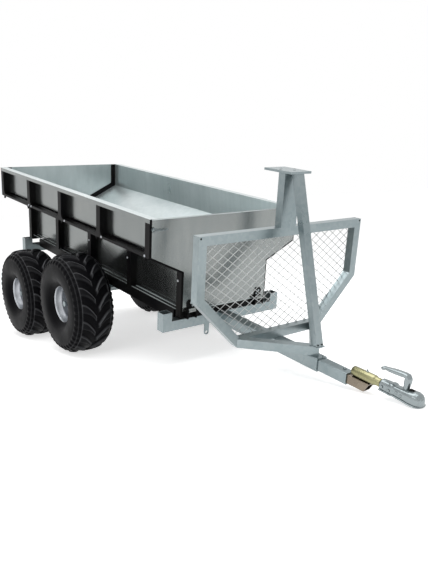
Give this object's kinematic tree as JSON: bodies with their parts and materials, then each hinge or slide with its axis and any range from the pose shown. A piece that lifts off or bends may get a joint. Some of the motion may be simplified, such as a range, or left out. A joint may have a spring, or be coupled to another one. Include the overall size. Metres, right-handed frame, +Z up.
{
  "type": "timber trailer with tipping box",
  "caption": "Tandem-bogie off-road timber trailer with a stepped galvanised tipping box, wire guard, crane pillar and ball coupling.",
  "frame": {"origin": "centre of the footprint on the ground, midway along the parked trailer's length", "axes": "+X forward to the coupling, +Y to the trailer's left, +Z up; the chassis leans nose down on its coupling by 10.93 degrees"},
  "size_m": [3.0916, 1.168, 1.1031],
  "materials": {
    "galvanised": "hot-dip galvanised steel, softly mottled",
    "black_paint": "satin black powder coat",
    "tyre_rubber": "black rubber",
    "wheel_silver": "silver paint",
    "yellow_zinc": "yellow-passivated zinc plating",
    "bright_zinc": "bright zinc plating",
    "pad_rubber": "black rubber"
  },
  "bodies": {
    "frame": {"axle_cross_tube": "galvanised", "bogie_beam_left": "galvanised", "bogie_beam_right": "galvanised", "bogie_pivot": "bright_zinc", "coupling_stub": "yellow_zinc", "crane_plate": "galvanised", "drawbar_extension": "galvanised", "front_bunk": "galvanised", "guard_brace_left": "galvanised", "guard_brace_right": "galvanised", "guard_frame": "galvanised", "guard_mesh": "galvanised", "leg_foot_plate": "galvanised", "main_beam": "galvanised", "pillar_front_leg": "galvanised", "pillar_rear_leg": "galvanised", "pivot_hangers": "galvanised", "rear_bunk": "galvanised", "rest_pads": "pad_rubber", "stake_pocket_front_left": "galvanised", "stake_pocket_front_right": "galvanised", "stake_pocket_rear_left": "galvanised", "stake_pocket_rear_right": "galvanised", "swivel_tube": "yellow_zinc", "tip_lugs": "galvanised", "tip_pin": "bright_zinc"},
    "front_gate": {"front_gate": "galvanised"},
    "tailgate": {"tailgate": "galvanised"},
    "coupling": {"coupling_handle": "bright_zinc", "coupling_head": "bright_zinc"},
    "front_left_wheel": {"tyre_front_left": "tyre_rubber", "rim_front_left": "wheel_silver"},
    "front_right_wheel": {"tyre_front_right": "tyre_rubber", "rim_front_right": "wheel_silver"},
    "rear_left_wheel": {"tyre_rear_left": "tyre_rubber", "rim_rear_left": "wheel_silver"},
    "rear_right_wheel": {"tyre_rear_right": "tyre_rubber", "rim_rear_right": "wheel_silver"},
    "box": {"box_subframe": "black_paint", "floor_sheet": "galvanised", "front_gate_hinges": "black_paint", "rear_frame": "black_paint", "side_frame_left": "black_paint", "side_frame_right": "black_paint", "side_sheet_left": "galvanised", "side_sheet_right": "galvanised", "tailgate_hinges": "black_paint"}
  },
  "joints": [
    {"name": "front_left_wheel_spin", "type": "hinge", "parent": "frame", "child": "front_left_wheel", "pos_m": [-0.4009, 0.464, 0.2795], "axis": [0, 1, 0], "continuous": true},
    {"name": "front_right_wheel_spin", "type": "hinge", "parent": "frame", "child": "front_right_wheel", "pos_m": [-0.4009, -0.464, 0.2795], "axis": [0, 1, 0], "continuous": true},
    {"name": "rear_left_wheel_spin", "type": "hinge", "parent": "frame", "child": "rear_left_wheel", "pos_m": [-1.0789, 0.464, 0.2795], "axis": [0, 1, 0], "continuous": true},
    {"name": "rear_right_wheel_spin", "type": "hinge", "parent": "frame", "child": "rear_right_wheel", "pos_m": [-1.0789, -0.464, 0.2795], "axis": [0, 1, 0], "continuous": true},
    {"name": "box_tip", "type": "hinge", "parent": "frame", "child": "box", "pos_m": [-1.47324, 0, 0.57995], "axis": [0, -1, 0], "range_deg": [0, 50]},
    {"name": "front_gate_hinge", "type": "hinge", "parent": "box", "child": "front_gate", "pos_m": [0.38623, 0, 0.27802], "axis": [0, 1, 0], "range_deg": [0, 45]},
    {"name": "tailgate_hinge", "type": "hinge", "parent": "box", "child": "tailgate", "pos_m": [-1.52841, 0, 0.64764], "axis": [0, -1, 0], "range_deg": [0, 90]},
    {"name": "coupling_swivel", "type": "hinge", "parent": "frame", "child": "coupling", "pos_m": [1.2134, 0, 0.08371], "axis": [0.9819, 0, -0.1895], "continuous": true}
  ]
}
